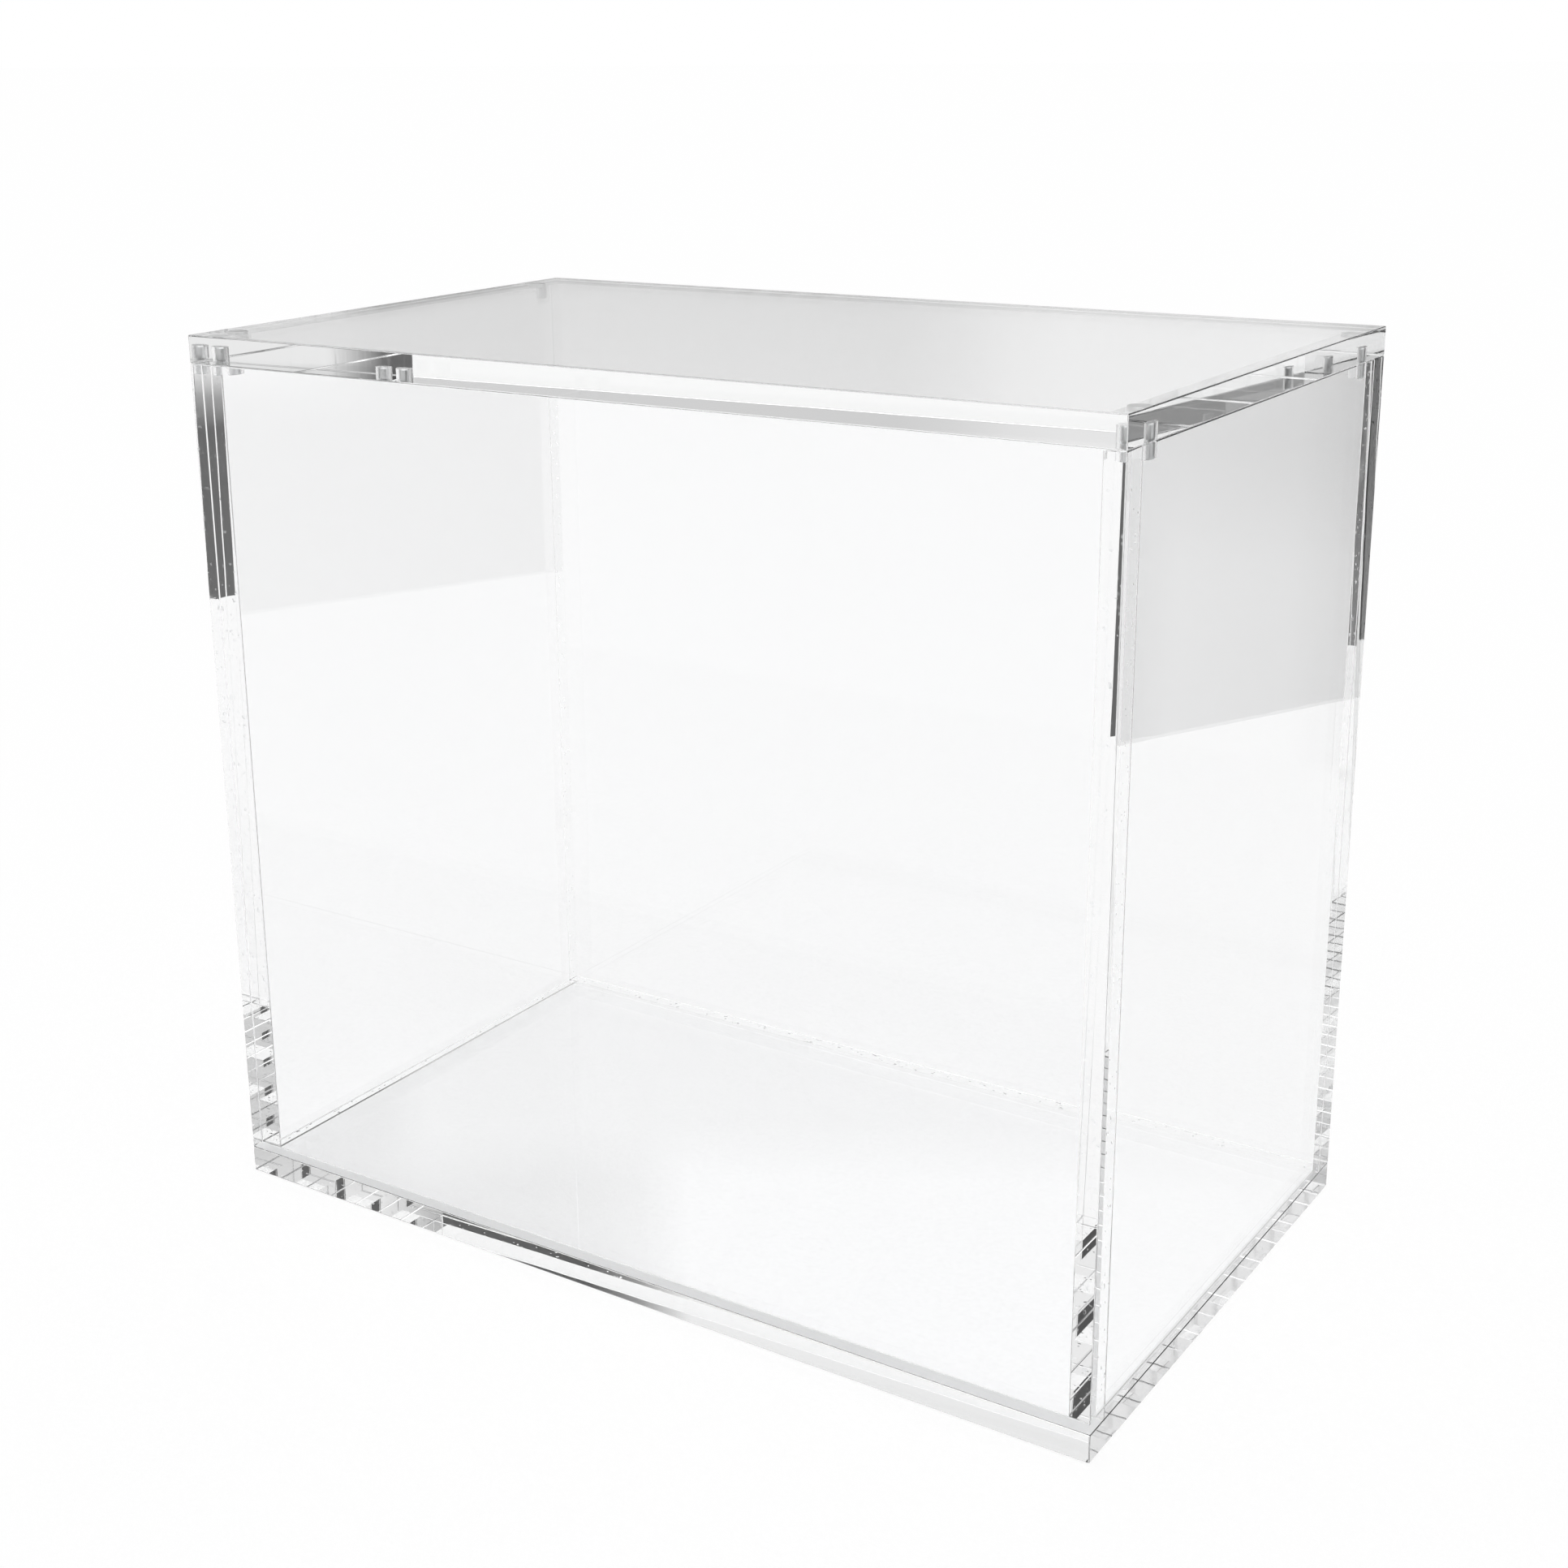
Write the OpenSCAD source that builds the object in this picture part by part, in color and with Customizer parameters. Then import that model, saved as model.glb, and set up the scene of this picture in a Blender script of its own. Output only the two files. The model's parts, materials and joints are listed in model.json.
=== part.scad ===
// Clear acrylic display case for a boxed set of card packs.
// Six polished sheets: a base, four walls standing on it and a lift-off lid,
// held shut by four pairs of small disc magnets.
// Millimetres. Origin at the centre of the underside, +X along the wide face,
// +Y from the front to the back, +Z up.

/* [Case] */
// Outside width, along the wide face
case_w = 149; // [90:1:320]
// Outside depth, front to back
case_d = 88; // [60:1:240]
// Outside height with the lid on
case_h = 136; // [60:1:320]

/* [Sheet] */
// Thickness of every acrylic sheet
sheet_t = 4.2; // [3.8:0.1:8]
// Width of the flame-polished break along each sheet edge
edge_break = 0.15; // [0.1:0.05:0.5]

/* [Magnets] */
// Diameter of one disc magnet
magnet_d = 3; // [2:0.1:3]
// Thickness of one disc magnet
magnet_h = 2; // [1:0.1:2.5]
// Distance from the front or back face to a magnet's centre
magnet_inset = 8; // [6:0.5:20]
// Radial room for adhesive between a magnet and its pocket
pocket_gap = 0.05; // [0.02:0.01:0.1]
// Depth of a magnet's face below the sheet's face
magnet_recess = 0.1; // [0.05:0.05:0.3]
// Width of the chamfer round both faces of a magnet
magnet_chamfer = 0.2; // [0.1:0.05:0.3]

/* [Hidden] */
wall_h = case_h - 2 * sheet_t;
lid_z = case_h - sheet_t;
inner_d = case_d - 2 * sheet_t;
long_wall_y = (case_d - sheet_t) / 2;
side_wall_x = (case_w - sheet_t) / 2;
magnet_y = case_d / 2 - magnet_inset;
pocket_d = magnet_d + 2 * pocket_gap;
pocket_depth = magnet_h + magnet_recess;
cut_past = 1;
acrylic = [0.90, 0.95, 0.96, 0.35];
nickel = "silver";
$fn = 48;

// A rectangle centred on the origin with its corners cut at 45 degrees.
module broken_rectangle(w, h) {
    x = w / 2;
    y = h / 2;
    c = edge_break;
    polygon([
        [-x + c, -y], [x - c, -y], [x, -y + c], [x, y - c],
        [x - c, y], [-x + c, y], [-x, y - c], [-x, -y + c]
    ]);
}

// One cut sheet, centred on the origin, with all twelve edges broken.
module sheet(w, d, h) {
    intersection() {
        linear_extrude(h, center = true)
            broken_rectangle(w, d);
        rotate([90, 0, 0])
            linear_extrude(d, center = true)
                broken_rectangle(w, h);
        rotate([90, 0, 90])
            linear_extrude(w, center = true)
                broken_rectangle(d, h);
    }
}

// A blind magnet pocket whose mouth is at the origin and opens towards +Z.
module pocket() {
    translate([0, 0, -pocket_depth])
        cylinder(d = pocket_d, h = pocket_depth + cut_past);
}

// A flat sheet over the whole footprint, from height z up.
module flat_panel(z) {
    translate([0, 0, z + sheet_t / 2])
        sheet(case_w, case_d, sheet_t);
}

// A front or back wall over the full width. side is -1 at the front, 1 at the back.
module long_wall(side) {
    translate([0, side * long_wall_y, case_h / 2])
        sheet(case_w, sheet_t, wall_h);
}

// A side wall between the front and back walls, with magnet pockets in its top edge.
module side_wall(side) {
    difference() {
        translate([side * side_wall_x, 0, case_h / 2])
            sheet(sheet_t, inner_d, wall_h);
        for (end = [-1, 1])
            translate([side * side_wall_x, end * magnet_y, lid_z])
                pocket();
    }
}

module base_panel() {
    color(acrylic) flat_panel(0);
}

module front_panel() {
    color(acrylic) long_wall(-1);
}

module back_panel() {
    color(acrylic) long_wall(1);
}

module left_panel() {
    color(acrylic) side_wall(-1);
}

module right_panel() {
    color(acrylic) side_wall(1);
}

// The lid covers the whole footprint. Its pockets open downwards over the walls' pockets.
module lid_panel() {
    color(acrylic)
        difference() {
            flat_panel(lid_z);
            for (side = [-1, 1], end = [-1, 1])
                translate([side * side_wall_x, end * magnet_y, lid_z])
                    mirror([0, 0, 1]) pocket();
        }
}

// A disc magnet standing on the origin, chamfered round both faces.
module disc_magnet() {
    r = magnet_d / 2;
    c = magnet_chamfer;
    rotate_extrude()
        polygon([
            [0, 0], [r - c, 0], [r, c], [r, magnet_h - c], [r - c, magnet_h], [0, magnet_h]
        ]);
}

// A magnet seated at the bottom of a side wall's pocket.
module case_magnet(side, end) {
    color(nickel)
        translate([side * side_wall_x, end * magnet_y, lid_z - pocket_depth])
            disc_magnet();
}

// A magnet seated at the top of a lid pocket.
module lid_magnet(side, end) {
    color(nickel)
        translate([side * side_wall_x, end * magnet_y, lid_z + magnet_recess])
            disc_magnet();
}

base_panel();
front_panel();
back_panel();
left_panel();
right_panel();
lid_panel();
case_magnet(-1, -1);  // case_magnet_left_front
case_magnet(-1, 1);  // case_magnet_left_back
case_magnet(1, -1);  // case_magnet_right_front
case_magnet(1, 1);  // case_magnet_right_back
lid_magnet(-1, -1);  // lid_magnet_left_front
lid_magnet(-1, 1);  // lid_magnet_left_back
lid_magnet(1, -1);  // lid_magnet_right_front
lid_magnet(1, 1);  // lid_magnet_right_back
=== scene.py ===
"""Looks for the clear acrylic display case: six polished sheets, bonded seams and disc magnets."""
import json
import math

import bmesh
import bpy
from mathutils import Matrix, Vector


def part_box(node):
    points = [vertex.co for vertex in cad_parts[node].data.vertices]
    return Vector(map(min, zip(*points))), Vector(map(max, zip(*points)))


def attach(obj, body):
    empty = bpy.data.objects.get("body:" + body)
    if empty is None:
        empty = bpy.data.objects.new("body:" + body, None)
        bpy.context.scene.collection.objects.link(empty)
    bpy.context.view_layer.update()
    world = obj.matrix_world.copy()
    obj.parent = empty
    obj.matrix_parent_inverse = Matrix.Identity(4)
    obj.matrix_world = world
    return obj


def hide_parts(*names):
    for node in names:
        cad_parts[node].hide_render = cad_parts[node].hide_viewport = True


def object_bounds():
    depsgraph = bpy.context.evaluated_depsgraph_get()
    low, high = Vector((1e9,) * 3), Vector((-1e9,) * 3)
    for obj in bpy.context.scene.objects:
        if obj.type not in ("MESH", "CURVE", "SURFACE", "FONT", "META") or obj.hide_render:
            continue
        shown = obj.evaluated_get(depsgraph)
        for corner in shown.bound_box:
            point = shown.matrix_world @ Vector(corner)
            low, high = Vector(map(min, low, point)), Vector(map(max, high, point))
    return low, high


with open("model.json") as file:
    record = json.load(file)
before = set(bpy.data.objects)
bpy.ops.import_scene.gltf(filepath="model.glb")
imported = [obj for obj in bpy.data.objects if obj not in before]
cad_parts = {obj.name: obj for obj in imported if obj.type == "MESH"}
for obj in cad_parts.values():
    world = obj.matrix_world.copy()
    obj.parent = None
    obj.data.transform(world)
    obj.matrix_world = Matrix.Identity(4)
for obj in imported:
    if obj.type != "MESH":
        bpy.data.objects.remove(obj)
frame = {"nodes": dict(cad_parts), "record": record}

cad_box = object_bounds()

# ---- sizes, in metres ----
MM = 0.001
EDGE_RADIUS = 0.15 * MM         # flame-polished round along each sheet edge
SEAM_GAP = 0.02 * MM            # hair of room at a bonded seam, so that its two faces never coincide
LID_GAP = 0.04 * MM             # the lid rests on the walls but is not bonded to them
EDGE_SEGMENTS = 3
SHEET_WAVE = 0.005 * MM         # height of the slow waves in the cast sheet
SAW_MARK = 0.0007 * MM          # depth of the marks left under the polish on a cut edge
SAW_STRETCH = 0.12              # how much finer a saw mark is along the edge than through the sheet
DRILL_MARK = 4 * SAW_MARK       # depth of the turning marks in a magnet's pocket
PLATE_GRAIN = 2 * SAW_MARK      # height of the grain in the nickel plate
POCKET_ROOM = 0.05 * MM         # room for adhesive round each magnet
POCKET_SIDES = 48
FLAT = 0.9999                   # a face whose normal has this share along an axis counts as flat
CUT_REACH = 0.001 * MM          # a cut snaps to corners that are this near to it
FOOT_BOND = 0.75                # share of a side wall's foot that the solvent reached
PAST = 1 * MM                   # how far a drill runs past the face that it enters

# ---- acrylic ----
ACRYLIC_IOR = 1.49
FACE_TINT = (0.992, 0.993, 0.995)
EDGE_TINT = (0.985, 0.988, 0.988)
SEAM_TINT = (0.95, 0.96, 0.965)
MILKY_TINT = (0.96, 0.965, 0.97)
DRILLED_TINT = (0.93, 0.94, 0.945)

# ---- studio, in degrees. Azimuth 0 is +Y and 90 is +X ----
# Each band of the room is (radiance by azimuth, share of it by elevation).
ROOM_BANDS = (
    # the table, out to the horizon: dark at the back right, with a narrow dark gap in front
    (((-180, 1.1), (-165, 1.1), (-164.5, 0.03), (-161, 0.03), (-160.5, 1.1), (-12, 1.1),
      (-6, 0.05), (60, 0.05), (80, 1.0), (180, 1.1)),
     ((-90, 1), (1.5, 1), (4, 0), (90, 0))),
    # a pale screen low down, far off behind the dark side
    (((-180, 0), (42.4, 0), (42.7, 0.75), (62, 0.75), (70, 0), (180, 0)),
     ((-90, 0), (-8.6, 0), (-8.1, 1), (8.3, 1), (8.8, 0), (90, 0))),
    # the bare table beyond the paper's right edge
    (((-180, 0), (16.5, 0), (17.5, 0.28), (23.5, 0.28), (23.8, 0), (180, 0)),
     ((-90, 1), (-13, 1), (-10, 0), (90, 0))),
    # the lower walls, darker at the left and dark at the back right
    (((-180, 0.35), (-100, 0.35), (-75, 0.7), (-60, 0.68), (-29, 0.62), (-26, 0.8), (-12, 0.8),
      (-6, 0.02), (60, 0.02), (80, 0.5), (180, 0.35)),
     ((-90, 0), (1.5, 0), (4, 1), (14, 1), (20, 0), (90, 0))),
    # the upper walls, with the foot of a dark doorway at the back left
    (((-180, 0.75), (-75, 0.75), (-62, 0.5), (-50.5, 0.5), (-49.5, 0.04), (-42.7, 0.04), (-42.2, 0.5),
      (-12, 0.5), (-6, 0.02), (41.9, 0.02), (42.4, 0.6), (80, 0.6), (180, 0.75)),
     ((-90, 0), (14, 0), (20, 1), (27, 1), (28, 0), (90, 0))),
    # above them, with the doorway's head
    (((-180, 0.75), (-50.5, 0.75), (-49.5, 0.04), (-37, 0.04), (-35.5, 0.85), (-12, 0.8),
      (-6, 0.02), (41.9, 0.02), (42.4, 0.8), (80, 0.75), (180, 0.75)),
     ((-90, 0), (27, 0), (28, 1), (36, 1), (46, 0), (90, 0))),
    # the softbox overhead
    (((-180, 1.65), (180, 1.65)),
     ((-90, 0), (40, 0), (50, 1), (90, 1.1))),
)
WHITE = (1, 1, 1, 1)
CUT_OUT = 0.9                   # how far the bare paper is lifted to plain white
PAINTED_GLOW_UNDER_CASE = 0.05               # painted glow: the paper under the case emits this much light of its own, standing in for light bounced back under the base, which the bare paper gets from above
PAPER_DROP = 0.2 * MM           # the paper lies this far below the case, so that they never coincide
PAPER_GRAIN = 0.05 * MM         # height of the grain in the paper
PAPER_OUTLINE = (
    (-1.6, -0.17), (0.411, -0.17), (0.198, 0.245), (0.13, 0.38), (0.6, 9), (-12, 9), (-4, 0.5),
)

# ---- camera: it stands in front, to the right and a little above, with a slight roll ----
CAMERA_PLACE = (0.1795, -0.2817, 0.1783)
CAMERA_AZIMUTH, CAMERA_ELEVATION, CAMERA_ROLL = (math.radians(a) for a in (34.27, 16.93, -0.90))
CAMERA_SENSOR, CAMERA_LENS = 36, 52.75    # in mm, as Blender wants them
CAMERA_SHIFT = (0.0457, -0.0379)
NEAREST = 0.01                  # nothing nearer to the camera than this is drawn
BOUNCES = 40                    # light may cross this many faces of clear sheet

BONDED_SHEETS = ("base_panel", "front_panel", "back_panel", "left_panel", "right_panel")
LID_SHEET = "lid_panel"
SIDE_SHEETS = ("left_panel", "right_panel")
BONDED, MILKY, CUT_EDGE = 1, 2, 3    # places in a sheet's list of materials, after the broad face
MAGNETS = [n for n in frame["nodes"] if "_magnet_" in n]
BODY_OF = {n: b for b, members in frame["record"]["behaviour"]["bodies"].items() for n in members}


# ---- node helpers ----
class Tree:
    """A small wrapper that makes and links shader nodes. It starts with just the output."""

    def __init__(self, tree, output="ShaderNodeOutputMaterial"):
        self.tree = tree
        self.tree.nodes.clear()
        self.output = self.add(output)

    def add(self, kind, **settings):
        node = self.tree.nodes.new(kind)
        for key, value in settings.items():
            setattr(node, key, value)
        return node

    def link(self, source, target):
        self.tree.links.new(source, target)

    def show(self, shader):
        """Makes this the shader that the output shows."""
        self.link(shader.outputs[0], self.output.inputs["Surface"])

    def mix(self, share, first, second):
        """Two shaders, with this share of the second."""
        node = self.add("ShaderNodeMixShader")
        self.link(share, node.inputs["Fac"])
        self.link(first.outputs[0], node.inputs[1])
        self.link(second.outputs[0], node.inputs[2])
        return node

    def math(self, operation, a, b=None):
        node = self.add("ShaderNodeMath", operation=operation)
        for socket, value in zip(node.inputs, (a, b)):
            if value is None:
                continue
            if isinstance(value, (int, float)):
                socket.default_value = value
            else:
                self.link(value, socket)
        return node.outputs[0]

    def curve(self, value, stops):
        """A piecewise linear curve through (value, result) points, in the value's own units."""
        low, high = stops[0][0], stops[-1][0]
        place = self.add("ShaderNodeMapRange")
        place.inputs["From Min"].default_value = low
        place.inputs["From Max"].default_value = high
        self.link(value, place.inputs["Value"])
        ramp = self.add("ShaderNodeValToRGB")
        self.link(place.outputs["Result"], ramp.inputs["Fac"])
        elements = ramp.color_ramp.elements
        for element in list(elements)[1:]:
            elements.remove(element)
        for k, (at, result) in enumerate(stops):
            element = elements[0] if k == 0 else elements.new((at - low) / (high - low))
            element.position = (at - low) / (high - low)
            element.color = (result, result, result, 1)
        return ramp.outputs["Color"]

    def noise(self, scale, stretch=(1, 1, 1), detail=2.0):
        """Noise in the model's own space. scale is in features per metre."""
        coords = self.add("ShaderNodeTexCoord")
        place = self.add("ShaderNodeMapping")
        place.inputs["Scale"].default_value = stretch
        grain = self.add("ShaderNodeTexNoise")
        grain.inputs["Scale"].default_value = scale
        grain.inputs["Detail"].default_value = detail
        self.link(coords.outputs["Object"], place.inputs["Vector"])
        self.link(place.outputs[0], grain.inputs["Vector"])
        return grain.outputs["Fac"]

    def bump(self, height, depth):
        """A normal from a height field that runs from 0 to depth metres."""
        node = self.add("ShaderNodeBump")
        node.inputs["Strength"].default_value = 1.0
        node.inputs["Distance"].default_value = depth
        self.link(height, node.inputs["Height"])
        return node.outputs["Normal"]


def new_material(name):
    material = bpy.data.materials.new(name)
    material.use_nodes = True
    return material, Tree(material.node_tree)


def principled(t, **sockets):
    """A Principled shader on the output, with constants set on its own sockets."""
    shader = t.add("ShaderNodeBsdfPrincipled")
    for name, value in sockets.items():
        shader.inputs[name.replace("_", " ")].default_value = value
    t.show(shader)
    return shader


def acrylic(t, tint, clearness=1.0, **sockets):
    """Acrylic, which lets this share of the light that enters it straight through."""
    return principled(t, Base_Color=(*tint, 1), IOR=ACRYLIC_IOR, Transmission_Weight=clearness, **sockets)


def clear_acrylic():
    """The broad faces: cast sheet, very slightly wavy, with a few hairline scratches from handling."""
    material, t = new_material("acrylic_polished_face")
    shader = acrylic(t, FACE_TINT)
    scratches = t.noise(260, stretch=(1, 9, 0.6), detail=4)
    t.link(t.curve(scratches, ((0, 0), (0.74, 0), (0.76, 0.04), (1, 0.04))), shader.inputs["Roughness"])
    t.link(t.bump(t.noise(45), SHEET_WAVE), shader.inputs["Normal"])
    return material


def polished_edge(axis):
    """A sheet's cut edges: flame polished over fine saw marks, which run through the thickness."""
    material, t = new_material("acrylic_polished_edge_" + "xyz"[axis])
    shader = acrylic(t, EDGE_TINT)
    along = [1, 1, 1]
    along[axis] = SAW_STRETCH
    gloss = t.curve(t.noise(700, along, detail=3), ((0, 0), (0.55, 0), (0.75, 0.06), (1, 0.06)))
    t.link(gloss, shader.inputs["Roughness"])
    t.link(t.bump(t.noise(900, along, detail=3), SAW_MARK), shader.inputs["Normal"])
    return material


def bonded_face():
    """Faces joined by solvent: light passes straight through, except at a few small bubbles."""
    material, t = new_material("acrylic_bonded_seam")
    bubble = acrylic(t, SEAM_TINT, Roughness=0.1)
    joined = t.add("ShaderNodeBsdfTransparent")
    bubbles = t.curve(t.noise(1100, detail=1), ((0, 0), (0.70, 0), (0.715, 1), (1, 1)))
    t.show(t.mix(bubbles, joined, bubble))
    return material


def milky_joint():
    """The joint under the front wall: cured cement full of fine bubbles, which scatters light."""
    material, t = new_material("acrylic_milky_joint")
    shader = acrylic(t, MILKY_TINT, clearness=0.15)
    t.link(t.curve(t.noise(1200, detail=3), ((0, 0.35), (1, 0.75))), shader.inputs["Roughness"])
    return material


def drilled_wall():
    """The blind magnet pockets: a satin drilled surface with turning marks."""
    material, t = new_material("acrylic_drilled_pocket")
    shader = acrylic(t, DRILLED_TINT)
    t.link(t.curve(t.noise(1500), ((0, 0.2), (1, 0.5))), shader.inputs["Roughness"])
    turning = t.noise(600, stretch=(1, 1, 12), detail=1)
    t.link(t.bump(turning, DRILL_MARK), shader.inputs["Normal"])
    return material


def nickel():
    """Disc magnets: bright nickel plate, a little uneven in tone and gloss."""
    material, t = new_material("magnet_nickel_plate")
    shader = principled(t, Metallic=1.0)
    tone = t.curve(t.noise(900, detail=3), ((0, 0.45), (0.5, 0.6), (1, 0.68)))
    t.link(tone, shader.inputs["Base Color"])
    t.link(t.curve(t.noise(2200), ((0, 0.14), (1, 0.4))), shader.inputs["Roughness"])
    t.link(t.bump(t.noise(3500), PLATE_GRAIN), shader.inputs["Normal"])
    return material


# ---- sheets ----
def contact_patches(node):
    """Where the sheet's faces lie flat on other bonded sheets: (axis, side, low, high, joint)."""
    lo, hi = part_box(node)
    patches = []
    for other in BONDED_SHEETS:
        if other == node:
            continue
        other_lo, other_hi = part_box(other)
        low = Vector([max(a, b) for a, b in zip(lo, other_lo)])
        high = Vector([min(a, b) for a, b in zip(hi, other_hi)])
        flat = [k for k in range(3) if abs(high[k] - low[k]) < SEAM_GAP]
        if len(flat) != 1 or any(high[k] < low[k] for k in range(3) if k != flat[0]):
            continue
        axis = flat[0]
        side = 1 if abs(hi[axis] - low[axis]) < SEAM_GAP else -1
        margin = Vector([0 if k == axis else EDGE_RADIUS for k in range(3)])
        low, high = low + margin, high - margin
        pair = {node, other}
        if "base_panel" in pair and pair.intersection(SIDE_SHEETS):
            keep_outer_share(low, high)
        joint = MILKY if pair == {"base_panel", "front_panel"} else BONDED
        patches.append((axis, side, low, high, joint))
    return patches


def keep_outer_share(low, high):
    """The solvent under a side wall ran in from the outside and stopped part of the way in."""
    width = high.x - low.x
    if low.x < 0:
        high.x = low.x + FOOT_BOND * width
    else:
        low.x = high.x - FOOT_BOND * width


def slab(lo, hi):
    """A box whose edges are rounded; its six broad faces stay flat."""
    bm = bmesh.new()
    bmesh.ops.create_cube(bm, size=1)
    for v in bm.verts:
        v.co = Vector([(lo[k] + hi[k]) / 2 + v.co[k] * (hi[k] - lo[k]) for k in range(3)])
    bmesh.ops.bevel(bm, geom=list(bm.edges), offset=EDGE_RADIUS, segments=EDGE_SEGMENTS,
                    profile=0.5, affect="EDGES", clamp_overlap=True)
    bm.normal_update()
    for f in bm.faces:
        f.smooth = max(abs(c) for c in f.normal) < FLAT
    return bm


def cut_patch(bm, axis, side, low, high, joint):
    """Cuts a contact patch out of the flat face it lies on, and gives it the joint's material."""
    def on_face(f):
        return f.normal[axis] * side > FLAT

    for k in range(3):
        if k == axis:
            continue
        for at in (low[k], high[k]):
            faces = [f for f in bm.faces if on_face(f)]
            parts = set(faces)
            for f in faces:
                parts.update(f.edges, f.verts)
            normal = Vector([float(j == k) for j in range(3)])
            bmesh.ops.bisect_plane(bm, geom=list(parts), dist=CUT_REACH,
                                   plane_co=at * normal, plane_no=normal)
    bm.normal_update()
    for f in bm.faces:
        middle = f.calc_center_median()
        inside = all(low[k] < middle[k] < high[k] for k in range(3) if k != axis)
        if on_face(f) and inside:
            f.material_index = joint


def new_object(name, bm):
    mesh = bpy.data.meshes.new(name)
    bm.to_mesh(mesh)
    bm.free()
    made = bpy.data.objects.new(name, mesh)
    bpy.context.scene.collection.objects.link(made)
    return made


def inside_sheet(box, lo, hi):
    """Whether the middle of a magnet's box lies in the sheet between lo and hi."""
    middle = [(a + b) / 2 for a, b in zip(*box)]
    return all(lo[k] < middle[k] < hi[k] for k in range(3))


def drill(piece, holes, lo, hi, drilled):
    """Blind pockets for the magnets, from the nearer of the sheet's top and bottom faces."""
    bm = bmesh.new()
    for hole_lo, hole_hi in holes:
        radius = (hole_hi[0] - hole_lo[0]) / 2 + POCKET_ROOM
        from_below = hole_lo[2] - lo.z < hi.z - hole_hi[2]
        bottom = lo.z - PAST if from_below else hole_lo[2] - SEAM_GAP
        top = hole_hi[2] + SEAM_GAP if from_below else hi.z + PAST
        middle = Vector(((hole_lo[0] + hole_hi[0]) / 2, (hole_lo[1] + hole_hi[1]) / 2, (bottom + top) / 2))
        bmesh.ops.create_cone(bm, cap_ends=True, segments=POCKET_SIDES, radius1=radius, radius2=radius,
                              depth=top - bottom, matrix=Matrix.Translation(middle))
    cutter = new_object("pocket_drill", bm)
    cutter.data.materials.append(drilled)
    cut = piece.modifiers.new("pockets", "BOOLEAN")
    cut.operation = "DIFFERENCE"
    cut.solver = "EXACT"
    cut.material_mode = "TRANSFER"
    cut.object = cutter
    graph = bpy.context.evaluated_depsgraph_get()
    cut_mesh = bpy.data.meshes.new_from_object(piece.evaluated_get(graph))
    piece.modifiers.clear()
    piece.data = cut_mesh
    bpy.data.objects.remove(cutter)


def sheet_piece(node, face, bond, milky, edges, drilled):
    """One acrylic sheet. Faces that lie on another sheet stand a hair back from the seam."""
    lo, hi = (Vector(c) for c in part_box(node))
    patches = contact_patches(node) if node in BONDED_SHEETS else []
    for axis, side in {p[:2] for p in patches}:
        if side > 0:
            hi[axis] -= SEAM_GAP / 2
        else:
            lo[axis] += SEAM_GAP / 2
    if node == LID_SHEET:
        lo.z += LID_GAP
    bm = slab(lo, hi)
    thickness_axis = min(range(3), key=lambda k: hi[k] - lo[k])
    for f in bm.faces:
        if abs(f.normal[thickness_axis]) < FLAT:
            f.material_index = CUT_EDGE
    for patch in patches:
        cut_patch(bm, *patch)
    piece = new_object(node + "_clear", bm)
    for material in (face, bond, milky, edges[thickness_axis], drilled):
        piece.data.materials.append(material)
    holes = [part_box(m) for m in MAGNETS if inside_sheet(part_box(m), lo, hi)]
    if holes:
        drill(piece, holes, lo, hi, drilled)
    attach(piece, BODY_OF[node])
    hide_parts(node)
    return piece


# ---- stage ----
def sweep():
    """White paper lying on the table, running back past the camera's view, with a painted glow under the
    case.
    """
    bm = bmesh.new()
    bm.faces.new([bm.verts.new((x, y, -PAPER_DROP)) for x, y in PAPER_OUTLINE])
    floor = new_object("sweep", bm)
    material, t = new_material("sweep_paper")
    paper = principled(t, Roughness=0.9, Specular_IOR_Level=0.1, Emission_Color=WHITE)
    tone = t.curve(t.noise(1500, detail=5), ((0, 0.80), (0.5, 0.88), (1, 0.92)))
    t.link(tone, paper.inputs["Base Color"])
    t.link(t.bump(t.noise(900, detail=4), PAPER_GRAIN), paper.inputs["Normal"])
    # painted glow: the paper emits white light under the case, though it is no lamp
    t.link(t.math("MULTIPLY", painted_glow_footprint(t), PAINTED_GLOW_UNDER_CASE), paper.inputs["Emission Strength"])
    bare = t.math("MULTIPLY", t.add("ShaderNodeLightPath").outputs["Is Camera Ray"], CUT_OUT)
    t.show(t.mix(bare, paper, t.add("ShaderNodeEmission")))
    floor.data.materials.append(material)


def painted_glow_footprint(t):
    """Where the paper has its painted glow: 1 on the paper under the case, fading to 0 just outside it."""
    coords = t.add("ShaderNodeTexCoord")
    axes = t.add("ShaderNodeSeparateXYZ")
    t.link(coords.outputs["Object"], axes.inputs[0])
    share = 1.0
    for k, name in enumerate("XY"):
        edge = cad_box[1][k]
        span = t.math("ABSOLUTE", axes.outputs[name])
        inside = t.curve(span, ((0, 1), (0.97 * edge, 1), (1.03 * edge, 0)))
        share = t.math("MULTIPLY", inside, share)
    return share


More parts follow.
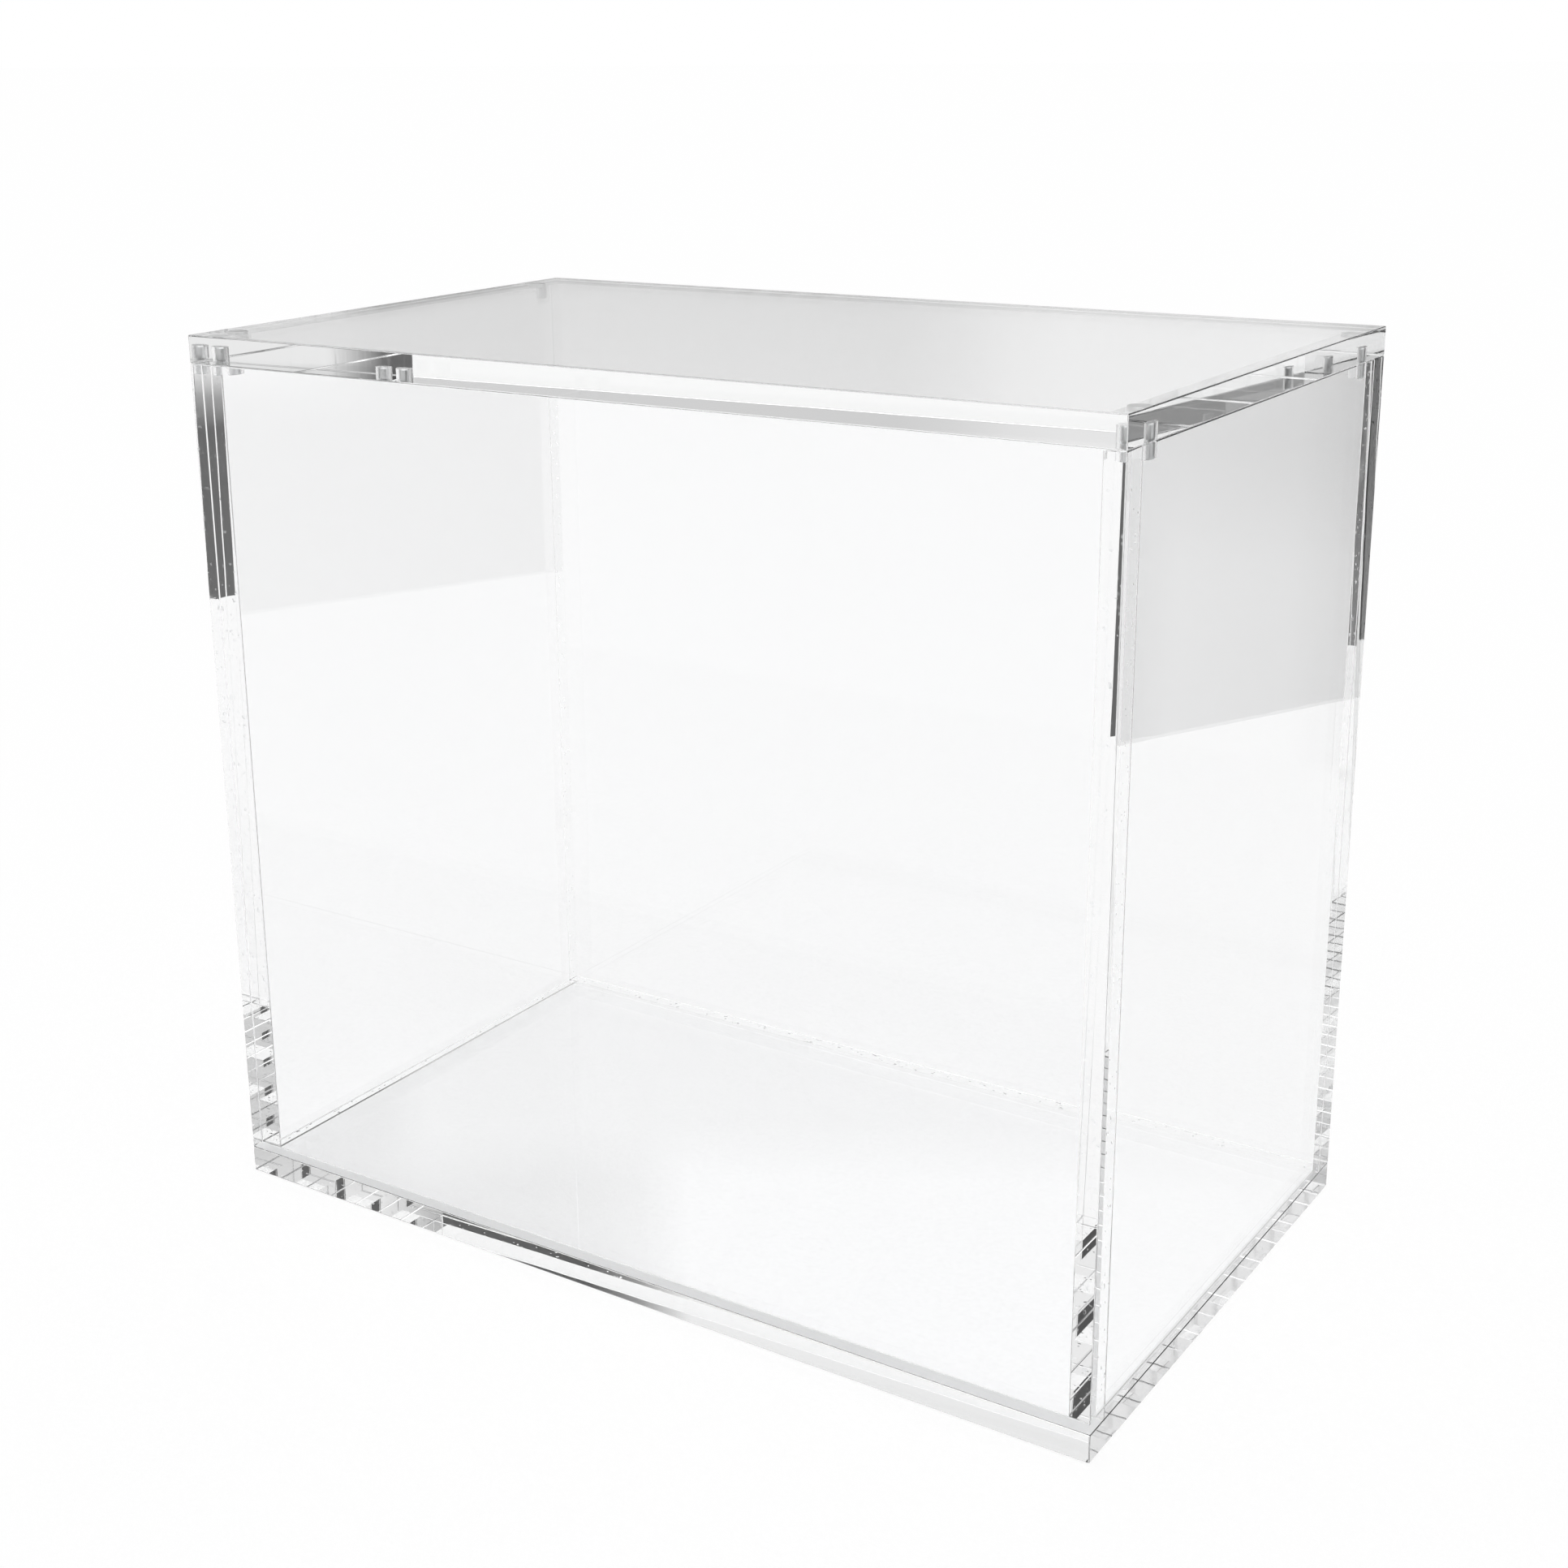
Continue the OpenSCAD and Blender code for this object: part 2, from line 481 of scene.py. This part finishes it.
def room():
    """The room as the case sees it: pale walls, a dark back right, and a broad softbox overhead.

    The dark parts stand for the filled case and the surroundings that the photo's case picks up. The
    camera itself sees a plain white backdrop past the paper.
    """
    world = bpy.data.worlds.new("studio")
    bpy.context.scene.world = world
    world.use_nodes = True
    t = Tree(world.node_tree, output="ShaderNodeOutputWorld")
    light = t.add("ShaderNodeBackground")
    coords = t.add("ShaderNodeTexCoord")
    axes = t.add("ShaderNodeSeparateXYZ")
    t.link(coords.outputs["Generated"], axes.inputs[0])
    elevation = t.math("DEGREES", t.math("ARCSINE", axes.outputs["Z"]))
    azimuth = t.math("DEGREES", t.math("ARCTAN2", axes.outputs["X"], axes.outputs["Y"]))
    total = 0.0
    for by_azimuth, by_elevation in ROOM_BANDS:
        band = t.math("MULTIPLY", t.curve(azimuth, by_azimuth), t.curve(elevation, by_elevation))
        total = t.math("ADD", band, total)
    t.link(total, light.inputs["Color"])
    backdrop = t.add("ShaderNodeBackground")
    backdrop.inputs["Color"].default_value = WHITE
    bare = t.add("ShaderNodeLightPath").outputs["Is Camera Ray"]
    t.show(t.mix(bare, light, backdrop))


def camera():
    """The camera, turned by its azimuth, elevation and roll."""
    level = math.cos(CAMERA_ELEVATION)
    back = Vector((math.sin(CAMERA_AZIMUTH) * level, -math.cos(CAMERA_AZIMUTH) * level,
                   math.sin(CAMERA_ELEVATION)))
    right = Vector((math.cos(CAMERA_AZIMUTH), math.sin(CAMERA_AZIMUTH), 0))
    up = back.cross(right)
    rolled_right = math.cos(CAMERA_ROLL) * right + math.sin(CAMERA_ROLL) * up
    rolled_up = math.cos(CAMERA_ROLL) * up - math.sin(CAMERA_ROLL) * right
    turned = Matrix((rolled_right, rolled_up, back)).transposed().to_4x4()
    data = bpy.data.cameras.new("camera")
    data.sensor_width = CAMERA_SENSOR
    data.lens = CAMERA_LENS
    data.shift_x, data.shift_y = CAMERA_SHIFT
    data.clip_start = NEAREST
    cam = bpy.data.objects.new("camera", data)
    cam.matrix_world = Matrix.Translation(CAMERA_PLACE) @ turned
    bpy.context.scene.collection.objects.link(cam)
    bpy.context.scene.camera = cam


def film():
    """Plain colours, and enough bounces for light to get through all the clear sheets."""
    scene = bpy.context.scene
    scene.view_settings.view_transform = "Standard"
    scene.cycles.blur_glossy = 0.0
    scene.cycles.max_bounces = BOUNCES + 8
    scene.cycles.transmission_bounces = BOUNCES
    scene.cycles.glossy_bounces = BOUNCES
    scene.cycles.transparent_max_bounces = BOUNCES


camera()
film()
room()
sweep()
face = clear_acrylic()
bond = bonded_face()
milky = milky_joint()
edges = [polished_edge(axis) for axis in range(3)]
drilled = drilled_wall()
for node in BONDED_SHEETS + (LID_SHEET,):
    sheet_piece(node, face, bond, milky, edges, drilled)
plate = nickel()
for node in MAGNETS:
    frame["nodes"][node].data.materials.clear()
    frame["nodes"][node].data.materials.append(plate)
